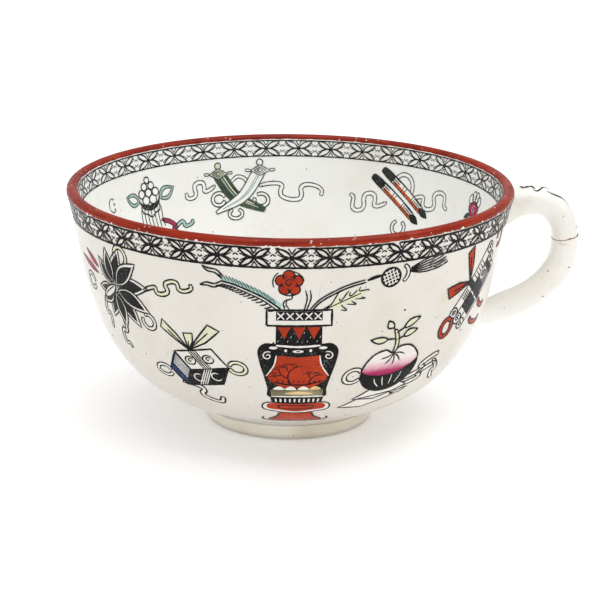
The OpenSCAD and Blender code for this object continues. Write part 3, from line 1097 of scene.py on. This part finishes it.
def book_picture(art):
    """A wrapped book with blue page edges, tied up with a pale green bow."""
    corner = np.array([0.4, -1.2])
    right, back, down = np.array([9.6, 2.2]), np.array([-3.2, 4.7]), np.array([-2.5, -5.3])
    for one, other, colour in ((right, back, WHITE), (back, down, NAVY), (down, right, BLACK)):
        art.shape(panel_edge(corner, one, other), colour, 0.44)
    striped(art, corner + back * 0.92 + down * 0.06, -back * 0.84, down * 0.55, 6, 0.24, WHITE)
    for share in (0.22, 0.70):
        middle = corner + right * share + back * 0.5
        art.line(circle(middle, 1.3, 1.1, 40, 390), 0.36)
        art.line(spiral(middle, 0.7, 1.0, 20), 0.32)
        front = corner + right * (share + 0.06) + down * 0.5
        art.line(circle(front, 1.2, 1.1, 60, 330), 0.28, WHITE, 4)
    for shift in (-0.09, -0.03, 0.03, 0.09):
        over = corner + right * (0.47 + shift)
        art.line(straight([over + back * 1.04, over]), 0.3, None, 5)
        art.line(straight([over, over + down * 0.97]), 0.24, WHITE, 5)
    knot = corner + right * 0.44 + back * 1.04
    for degrees, length, width in ((86, 4.6, 2.2), (138, 9.0, 1.9), (44, 10.0, 2.6)):
        tail = bow_tail(knot, degrees, length, width)
        art.shape(cornered(tail), PALE_GREEN, 0.42, 2)
        art.line(straight([knot, (tail[2] + tail[3]) / 2 - heading(degrees) * 2], 0.6), 0.3, None, 6)
    ring_ribbon(art, (-7.4, -3.1), 2.1, 0.9, WHITE, 20, 320, 0.75)
    ring_ribbon(art, (12.0, 1.1), 1.9, 0.9, PALE_GREEN, 190, 330, 0.85)
    art.ribbon(wave((-2.8, -6.2), -26, 10.0, 1.1, 1.9), 1.2, WHITE, 0.44, 0)


def lotus_picture(art):
    """A black lotus with white-edged petals, tied with wavy ribbons."""
    centre = np.array([-3.4, 0.9])
    ring_ribbon(art, (0.6, 9.2), 2.0, 0.95, PALE_GREEN, -60, 300, 1.1, 0)
    ring_ribbon(art, (-15.6, -0.6), 2.2, 0.9, WHITE, 10, 330, 0.8, 0)
    ring_ribbon(art, (6.6, -5.2), 1.8, 0.9, WHITE, 160, 320, 1.0, 0)
    art.ribbon(wave((7.6, 2.6), 16, 13.0, 2.0, 1.3), 0.95, PALE_GREEN, 0.38, 0)
    art.ribbon(wave((-7.6, -2.0), -108, 8.4, 0.8, -1.2), 0.95, WHITE, 0.36, 0)
    art.ribbon(wave((-2.8, -6.4), -98, 8.6, 1.2, 1.1), 0.95, WHITE, 0.4, 0)
    for degrees, length in ((152, 14.0), (166, 17.0)):
        tip = leaf(centre + heading(degrees) * 7, centre + heading(degrees) * length, 1.5)
        art.shape(tip, CRIMSON, 0.24, 0, GREY)
    petals = 11
    for i in range(petals):
        degrees = 130 - 330 * i / petals
        facing = math.cos(math.radians(degrees - 5))
        length, width = 9.6 + 2.4 * facing, 3.5 + 0.7 * facing
        base = centre + heading(degrees) * 1.2
        along = heading(degrees) * (length - 1.2)
        art.shape(leaf(base, base + along, width, 0.4), WHITE, 0.36, 1 + 3 * (i % 2))
        art.fill(leaf(base + along * 0.05, base + along * 0.86, width - 1.0, 0.4), BLACK, 2 + 3 * (i % 2))
    art.shape(turned(circle((0, 0), 3.2, 1.1), 34, centre - (2.2, 1.4)), WHITE, 0.42, 7)
    art.line(turned(wave((-2.4, 0), 0, 4.8, 0.5, 0.3), 34, centre - (2.2, 1.4)), 0.28, None, 10)


def fruit_picture(art):
    """A blushing fruit on a leafy stem, in a black bowl over folded papers."""
    centre, tilt = (-2.8, 1.6), 8
    for i in range(2):
        art.ribbon(wave((2.0, -2.4 - 2.3 * i), 24 - 4 * i, 9.6, 0.9, -1.1), 1.45, WHITE, 0.46, 0)
    art.ribbon(wave((10.4, 0.4), -62, 6.4, 0.9, 0.9), 1.2, WHITE, 0.38, 0)
    sheet = np.array([(-5.6, -4.4), (-9.0, -7.6), (-3.4, -8.4), (4.0, -5.0), (1.6, -3.4)])
    art.shape(cornered([(0.6, -8.0), (1.6, -7.0), (5.2, -6.2), (3.4, -7.8)]), WHITE, 0.4, 0)
    for i in range(2):
        art.shape(cornered(sheet + np.array([-2.0, -3.2]) * i), WHITE, 0.44, 2 - i)
    ring_ribbon(art, (-11.6, 0.6), 2.0, 0.95, WHITE, 30, 300, 1.0, 2)
    bowl = mirrored([(0, -1.4), (4.0, -0.8), (7.0, 0.6), (7.1, -1.4), (5.6, -4.4), (2.8, -6.6), (0, -7.2)])
    art.fill(turned(bowl, tilt, centre), BLACK, 4)
    fruit = mirrored([(0, 4.6), (1.8, 5.8), (4.6, 5.2), (6.6, 2.8), (6.9, 0.6), (3.8, -1.2), (0, -1.9)])
    art.fill(turned(fruit, tilt, centre), BLUSH, 6)
    art.outline(turned(fruit, tilt, centre), 0.44, None, 8)
    for degrees in (-160, -120, -85, -50, -15):
        crease = smooth([(0, 0), (1.6, 0.35), (3.3, 0.1)])
        art.line(turned(crease, degrees, (-3.2, 6.0)), 0.36, None, 8, 0.7)
    for x in (-3.6, -1.6, 0.8, 3.2):
        glint = smooth([(x, -2.0), (x * 0.9, -3.4), (x * 0.6, -5.2)])
        art.line(turned(glint, tilt, centre), 0.24, WHITE, 6, 0.6)
    stem = [(-3.2, 6.2), (-2.9, 8.4), (-3.3, 10.6), (-4.0, 12.2)]
    art.ribbon(stem, 0.85, PALE_GREEN, 0.34, 6, ends=0.6)
    sprigs = ((-3.6, 9.8, 175, 6.2), (-3.1, 9.6, 20, 5.4), (-3.6, 11.4, 28, 6.6), (-4.0, 12.0, 128, 3.4))
    for x, y, degrees, length in sprigs:
        base = np.array([x, y])
        along = heading(degrees) * length
        art.line(straight([base, base + along * 0.35], 0.5), 0.42, None, 8)
        art.shape(leaf(base + along * 0.3, base + along, 1.6, 0.25), PALE_GREEN, 0.4, 6)


def scroll_picture(art):
    """Three rolled pictures side by side, tied with red ribbons."""
    ring_ribbon(art, (10.4, 11.2), 1.7, 1.1, RED, -120, 300, 1.2, 0)
    art.ribbon(wave((2.4, -6.8), -16, 7.4, 0.6, -1.1), 1.2, RED, 0.34, 0)
    art.ribbon(wave((4.6, -2.6), -28, 5.0, 0.6, -0.9), 1.2, RED, 0.34, 0)
    along, across = heading(50), heading(-40)
    start = np.array([-7.6, -2.4])
    for i in range(3):
        low = start + across * 2.7 * i
        length = 17.5 - 1.2 * i
        art.shape(panel_edge(low, along * length, across * 2.6), WHITE, 0.34, 1)
        for end in (-0.2, length):
            middle = low + across * 1.3 + along * end
            art.shape(circle(middle, 1.35), WHITE, 0.36, 3)
            art.line(spiral(middle, 0.8, 1.1, 40 * i), 0.34, None, 6)
    for near, far, tone in ((2.4, 6.4, BLACK), (8.6, 10.4, BLACK), (10.4, 13.6, GREY), (13.6, 15.2, BLACK)):
        corner = start + along * near + across * 2.8
        art.fill(panel_edge(corner, along * (far - near), across * 4.6), tone, 4)
    for near, far in ((3.6, 6.2), (9.2, 14.0)):
        striped(art, start + along * near + across * 0.5, across * 1.8, along * (far - near), 5, 0.34, None)
    striped(art, start + along * 6.8 - across * 0.3, across * 8.4, along * 1.8, 5, 0.36, None, 7)
    art.line(circle(start + along * 12.0 + across * 4.0, 1.4, 1.2, 20, 340), 0.36, WHITE, 7)
    knot = start + along * 7.6 - across * 0.2
    for degrees, length, width in ((104, 8.8, 2.2), (190, 8.2, 2.8)):
        art.shape(cornered(bow_tail(knot, degrees, length, width)), RED, 0.42, 5)
        art.line(straight([knot, knot + heading(degrees) * length * 0.75], 0.6), 0.32, None, 9)
    ring_ribbon(art, (-8.2, -6.6), 1.8, 1.1, RED, 50, 344, 1.25, 6)


def blush(low, high):
    """White at height high, running down into magenta at low."""
    look = Look("enamel_blush", **INK_GLOSS)
    ragged = look.maths("ADD", look.height(low, high), look.times(look.noise(500, 3), 0.25))
    return inked(look, look.ramp(ragged, (0.18, (0.25, 0.014, 0.07)), (0.44, (0.44, 0.045, 0.14)),
                                 (0.72, (0.74, 0.46, 0.52)), (1.0, (0.80, 0.76, 0.71))))


FRUIT_DROP = 36
BLUSH = blush(OUTSIDE.height(FRUIT_DROP + 0.6), OUTSIDE.height(FRUIT_DROP - 5.0))

def print_pictures(prefix, wall, black, sides, pictures):
    """Each picture twice, at its own drop and at a place round the cup on each side, in degrees."""
    for draw_picture, kind, drop, *places in pictures:
        for side_name, place in zip(sides, places):
            art = Print(f"{prefix}_{kind}_{side_name}", wall, place, drop, black)
            draw_picture(art)
            art.done()


print_pictures("print", OUTSIDE, BLACK, ("front", "back"), (
    (vase_picture, "vase", 38, -92.6, 96),
    (book_picture, "book", 34, -125, 127),
    (lotus_picture, "lotus", 19, -143.7, 156),
    (fruit_picture, "fruit", FRUIT_DROP, -61, 66),
    (scroll_picture, "scrolls", 20, -37, 40)))


def flower_bowl_picture(art):
    """A bowl heaped with round white blossoms, with ringed leaves and tassels."""
    for side, length in ((-1, 5.2), (1, 5.4)):
        base, along = np.array([-1.8 + 3.4 * side, -0.6]), heading(90 - 66 * side) * length
        for share, width, colour, layer in ((1.0, 3.4, TEAL, 0), (0.72, 1.7, LIT_INSIDE_WHITE, 2)):
            start = base + along * (1 - share) * 0.5
            edge = leaf(start, start + along * share, width)
            art.shape(edge, colour, 0.28, layer, INSIDE_GREEN)
    basin = mirrored([(0, -1.5), (2.6, -0.8), (3.4, 0.4), (3.2, -1.2), (2.0, -2.4), (0, -2.9)])
    art.fill(basin + (-1.8, -0.3), art.black, 4)
    cloth = smooth([(-5.0, -1.8), (-4.6, -3.4), (-3.2, -3.9), (-1.8, -4.8), (-0.4, -3.9), (1.0, -3.4),
                    (1.4, -1.8)])
    art.line(cloth, 0.36)
    for i in range(7):
        x = -5.2 + 1.15 * i
        art.line(smooth([(x, -2.6), (x - 0.15, -5.2), (x + 0.1, -7.8)]), 0.24)
    for row, count, y in ((0, 2, -0.5), (1, 3, 1.2), (2, 2, 2.9), (3, 1, 4.4)):
        for i in range(count):
            x = -1.8 + 2.35 * (i - (count - 1) / 2)
            art.shape(circle((x, y), 1.15 - 0.12 * row), LIT_INSIDE_WHITE, 0.32, 6)
    art.ribbon(wave((1.4, -6.4), -34, 6.2, 0.8, 0.8), 1.1, CRIMSON, 0.24, 1)
    art.ribbon(wave((5.2, -8.8), 16, 5.0, 1.0, 0.9), 0.9, TEAL, 0.26, 1)


def rolls_picture(art):
    """A dark green roll and a white roll, crossed and tied with long ribbons."""
    art.black = INSIDE_GREEN
    art.ribbon(wave((-8.2, 1.4), 188, 7.8, 1.5, 1.7), 1.0, LIT_INSIDE_WHITE, 0.28, 0)
    art.ribbon(wave((4.4, 0.4), -8, 15.4, 1.5, 2.3), 1.0, LIT_INSIDE_WHITE, 0.28, 0)
    ring_ribbon(art, (-6.9, -2.2), 1.7, 0.85, LIT_INSIDE_WHITE, 20, 320, 0.9, 0)
    ring_ribbon(art, (4.2, -3.0), 1.8, 0.85, LIT_INSIDE_WHITE, 160, 320, 0.9, 0)
    ring_ribbon(art, (-2.6, -6.2), 1.7, 0.8, LIT_INSIDE_WHITE, 120, 300, 0.7, 0)
    art.ribbon([(-3.4, 2.0), (-1.6, 3.2), (0.4, 2.4), (0.8, 0.4)], 0.85, LIT_INSIDE_WHITE, 0.28, 0)
    rolls = (((-6.8, 4.2), (5.0, -5.6), -1.9, DARK_GREEN, PALE_GREEN, 1, 0.6),
             ((4.3, 4.6), (-7.8, -5.6), 1.9, LIT_INSIDE_WHITE, LIT_INSIDE_WHITE, 5, 0.75))
    for top, end, sag, colour, cap, layer, narrow in rolls:
        top, end = np.array(top), np.array(end)
        middle = (top + end) / 2 + np.array([0.7 * sag, -0.7 * abs(sag)])
        spine = smooth([top, middle, end], steps=9)
        art.ribbon([top, middle, end], 3.4, colour, 0.34, layer, ends=0.85, narrow=narrow)
        art.line(spine[1:-2], 0.3, MIST, layer + 3, 0.6)
        edge = TEAL if colour is LIT_INSIDE_WHITE else PALE_GREEN
        art.line(spine[1:-4] + (0.7, 0.2), 0.3, edge, layer + 3, 0.6)
        for size, tone in ((1.0, cap), (0.62, cap), (0.3, art.black)):
            diamond = np.array([(-2.5, -0.1), (0, 1.35), (2.5, -0.1), (0, -1.35)]) * size
            art.shape(cornered(diamond + top), tone, 0.3, layer + 3)
        art.shape(circle(top + (0, 2.0), 0.8), cap, 0.3, layer + 1)
        for side in (-1, 1):
            stub = [top + (2.5 * side, 0), top + (3.8 * side, 0.1)]
            art.ribbon(stub, 0.6, cap, 0.26, layer + 1, ends=0.9)


def brushes_picture(art):
    """Two writing brushes side by side, tied with wavy ribbons."""
    art.ribbon(wave((-4.4, -1.8), 186, 10.0, 1.7, 2.2), 1.0, LIT_INSIDE_WHITE, 0.3, 0, MIST_LINE)
    art.ribbon(circle((0.2, 2.6), 2.8, 3.2, -40, 170)[::3], 1.0, LIT_INSIDE_WHITE, 0.3, 0, MIST_LINE)
    art.ribbon(wave((3.2, -0.4), 10, 12.6, 1.7, 2.1), 1.0, LIT_INSIDE_WHITE, 0.3, 0, MIST_LINE)
    ring_ribbon(art, (0.6, -7.6), 1.8, 0.85, LIT_INSIDE_WHITE, 120, 300, 1.0, 0, MIST_LINE)
    along, across = heading(-34), heading(56)
    for foot in ((-9.0, 3.4), (-6.4, 5.4)):
        art.shape(panel_edge(foot + along * 3, along * 12, across * 1.9), LIT_INSIDE_WHITE, 0.34, 1)
        art.fill(panel_edge(foot + along * 4, along * 11, across * 0.8), ORANGE, 3)
        for near in (3.2, 12.0):
            low = foot + along * near + across * 0.3
            striped(art, low, along * 2.6, across * 1.7, 3, 0.28, None)
        for mark in (7.2, 8.1, 11.0, 11.7):
            low = foot + along * mark
            art.line(straight([low, low + across * 1.9]), 0.3, None, 4)
        cap = ((3.4, 0), (0.4, 0), (-0.5, 0.4), (-0.5, 1.5), (0.4, 1.9), (3.4, 1.9))
        art.fill(smooth([foot + along * a + across * b for a, b in cap], True), art.black, 4)
        point = foot + across * 0.95
        art.fill(leaf(point + along * 14.2, point + along * 18, 2.0), art.black, 4)


def bud_picture(art):
    """A crimson bud under white petals, with a green leaf."""
    for i in range(4):
        petal = circle(np.array([-1.3, 0.2]) + heading(38 + 36 * i) * 2.4, 0.95, 1.3)
        art.shape(petal, LIT_INSIDE_WHITE, 0.3, 0)
    bud = mirrored([(0, 1.0), (1.9, 0.6), (2.3, -0.6), (1.2, -2.2), (0, -2.7)])
    art.shape(bud + (-1.3, 0), CRIMSON, 0.3, 3)
    art.line(spiral((-1.2, -0.6), 1.0, 1.1, 60), 0.3, MIST, 6)
    art.fill(leaf((-2.6, -2.0), (-5.0, -3.4), 1.4), DARK_GREEN, 1)
    art.line(smooth([(-1.3, -2.7), (-1.6, -4.2), (-1.0, -5.6)]), 0.34)


def sprig_picture(art):
    """A small worn sprig."""
    art.line(circle((0, 0), 1.7, 1.7, 70, 290), 0.26)
    for i in range(5):
        spot = np.array([0.4, 1.2 - 0.7 * i])
        art.line(straight([spot, spot + (0.5, 0.3 * (-1) ** i)], 0.3), 0.42)


print_pictures("print_inside", INSIDE, INSIDE_BLACK, ("back", "front"), (
    (flower_bowl_picture, "blossoms", 13, 131.3, -49),
    (rolls_picture, "rolls", 14, 99.6, -80),
    (brushes_picture, "brushes", 14, 48.4, -130),
    (bud_picture, "bud", 11, 14, -165),
    (sprig_picture, "sprig", 12, 151, -26)))


def rod_strokes(name, colour, datum, strokes):
    """Brush strokes on the handle, thin at both ends.

    Each goes from one length past the datum to another, and from one angle to another, with
    its width and the size of its curl.
    """
    steps = 24
    points, faces = [], []
    t = np.linspace(0, 1, steps)
    for start, stop, turn, end_turn, width, curl in strokes:
        s = datum + start + (stop - start) * t
        middle = np.radians(turn + (end_turn - turn) * t) + curl * np.sin(2 * math.pi * t)
        half = width / 2 * np.sin(math.pi * (0.06 + 0.88 * t))
        first = len(points) * steps
        for side in (-1, 1):
            if abs(end_turn - turn) > 10 * abs(stop - start):
                points.append(rod_point(s + side * half, middle, INK_LIFT))
            else:
                points.append(rod_point(s, middle + side * half / (ROD_T / 2), INK_LIFT))
        faces += [face[::-1] for face in band_faces(steps, first)]
    piece = mesh_object(name, np.vstack(points), faces, [colour])


def make_handle_marks():
    """The brushed flourish along the top of the handle, and the hairlines and pits of its age."""
    rod_strokes("print_handle_flourish", BLACK, 0, (
        (8.3, 10.8, 170, 206, 0.8, 0.22), (10.4, 13.6, 210, 184, 0.55, 0.2),
        (12.8, 18.2, 208, 192, 0.55, 0.12)))
    rod_strokes("print_handle_hairlines", RUST, BREAK_S.mean(), (
        (-2.3, -2.0, 186, 232, 0.16, 0), (1.2, 0.9, 268, 318, 0.10, 0), (6.3, 6.7, 247, 249, 0.5, 0),
        (9.6, 10.1, 318, 320, 0.55, 0), (-6.0, -5.7, 262, 263, 0.3, 0), (15.0, 15.4, 252, 254, 0.35, 0)))


def make_specks():
    """Stray dots of ink and iron specks, scattered over the walls."""
    draw = random.Random(41)
    for name, wall, count, deepest in (("print_specks_outside", OUTSIDE, 230, 60),
                                       ("print_specks_inside", INSIDE, 70, 40)):
        art = Print(name, wall, 0, 10, BLACK)
        for _ in range(count):
            art.move(draw.uniform(0, 360), draw.uniform(8, deepest))
            size = 0.09 + 0.2 * draw.random() ** 3
            art.fill(turned(circle((0, 0), size, size * draw.uniform(0.5, 1))[::3], draw.uniform(0, 180)),
                     draw.choice((BLACK, GREY, GREY, OLIVE)), 0)
        art.done()


make_handle_marks()
make_specks()


# --- Floor, light and camera -------------------------------------------------------------
FLOOR_SIZE = 3.0
WHITE_LIGHT = (1, 1, 1, 1)
SKY = 0.645
FLOOR_GLOW = 0.23


def make_floor():
    bpy.ops.mesh.primitive_plane_add(size=FLOOR_SIZE, location=(0, 0, 0))
    floor = bpy.context.object
    floor.name = "floor"
    look = Look("floor_paper", Roughness=0.8, Emission_Strength=FLOOR_GLOW)
    look.shader.inputs["Emission Color"].default_value = WHITE_LIGHT
    look.feed(look.mix(look.noise(3, 2), (0.95, 0.95, 0.95), (0.97, 0.97, 0.97)), "Base Color")
    floor.data.materials.append(look.material)


def area_light(name, place, aim, size, power):
    """A rectangular softbox turned towards its aim, in metres."""
    data = bpy.data.lights.new(name, "AREA")
    data.shape = "RECTANGLE"
    data.size, data.size_y = size
    data.energy = power
    light = bpy.data.objects.new(name, data)
    light.location = place
    light.rotation_euler = (Vector(aim) - Vector(place)).to_track_quat("-Z", "Y").to_euler()
    bpy.context.scene.collection.objects.link(light)


def make_light():
    scene = bpy.context.scene
    world = bpy.data.worlds.new("studio")
    world.use_nodes = True
    background = world.node_tree.nodes["Background"]
    background.inputs["Color"].default_value = WHITE_LIGHT
    background.inputs["Strength"].default_value = SKY
    scene.world = world
    scene.view_settings.view_transform = "Standard"
    middle = (0, 0, 0.03)
    area_light("softbox_above", (0.14, -0.06, 0.89), middle, (0.9, 0.9), 5.75)
    area_light("softbox_front", (-0.25, -0.9, 0.5), middle, (0.7, 0.5), 0.06)


def make_camera():
    """The view down on the cup's front, with the handle turned a little away."""
    eye = Vector((-41.8, -478.2, 174.3)) * MM
    aim = Vector((2.45, -0.21, 28.05)) * MM
    tilt = 0.0098
    ahead = (aim - eye).normalized()
    right = ahead.cross(Vector((0, 0, 1))).normalized()
    up = right.cross(ahead)
    turned_right = right * math.cos(tilt) + up * math.sin(tilt)
    turned_up = up * math.cos(tilt) - right * math.sin(tilt)
    data = bpy.data.cameras.new("camera")
    data.sensor_width = 36
    data.lens = 127.2
    data.clip_start, data.clip_end = 0.01, 20
    camera = bpy.data.objects.new("camera", data)
    turn = Matrix((turned_right, turned_up, -ahead)).transposed().to_4x4()
    camera.matrix_world = Matrix.Translation(eye) @ turn
    bpy.context.scene.collection.objects.link(camera)
    bpy.context.scene.camera = camera


make_floor()
make_light()
make_camera()
